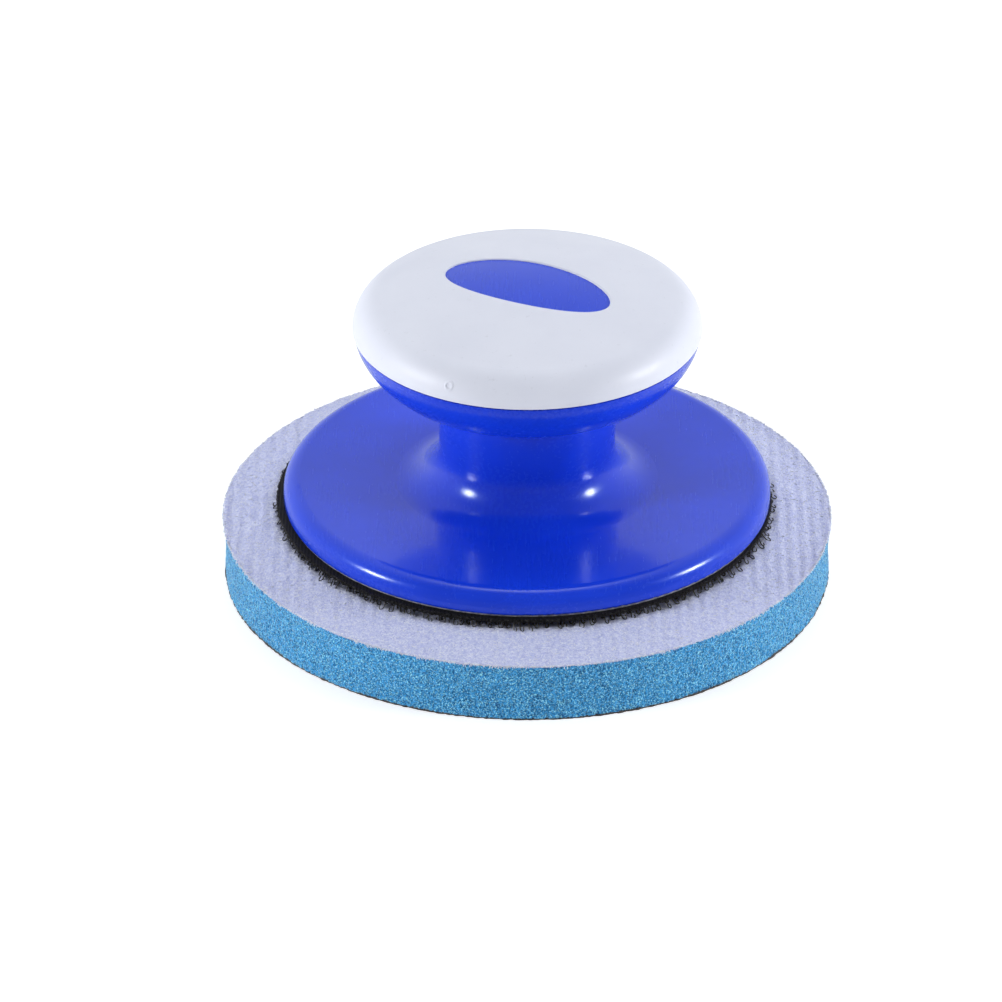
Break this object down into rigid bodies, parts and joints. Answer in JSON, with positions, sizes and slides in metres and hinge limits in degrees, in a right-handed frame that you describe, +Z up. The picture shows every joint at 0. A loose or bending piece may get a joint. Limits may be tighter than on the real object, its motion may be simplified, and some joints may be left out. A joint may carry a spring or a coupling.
{
  "type": "hand pad holder with abrasive foam disc",
  "caption": "Round palm-sized pad holder with a mushroom knob, and a foam-backed abrasive disc held to it by hook and loop.",
  "frame": {"origin": "centre of the working face, on the surface that the disc rests on", "axes": "+Z up along the knob's axis, away from the working face; -Y towards the front and +X to the right, so the oval window runs from back left to front right"},
  "size_m": [0.085, 0.085, 0.045],
  "materials": {
    "abrasive_cloth": "matte",
    "blue_foam": "matte",
    "white_loop": "matte",
    "black_hooks": "satin",
    "black_tape": "matte",
    "adhesive_film": "satin",
    "blue_plastic": "gloss",
    "white_skin": "satin",
    "zinc_steel": "satin"
  },
  "bodies": {
    "sole": {"abrasive_face": "abrasive_cloth", "foam_disc": "blue_foam"},
    "pad_top": {"loop_fabric": "white_loop"},
    "holder": {"hook_pile": "black_hooks", "hook_tape": "black_tape", "hook_adhesive": "adhesive_film", "handle_body": "blue_plastic", "knob_lid": "blue_plastic", "grip_skin": "white_skin", "lid_screw": "zinc_steel"}
  },
  "joints": [
    {"name": "foam_press", "type": "slide", "parent": "sole", "child": "pad_top", "axis": [0, 0, -1], "range_m": [0, 0.0025], "stiffness_N_per_m": 12000, "deforming": ["foam_disc"]},
    {"name": "pad_release", "type": "slide", "parent": "pad_top", "child": "holder", "axis": [0, 0, 1], "range_m": [0, 0.03]}
  ]
}
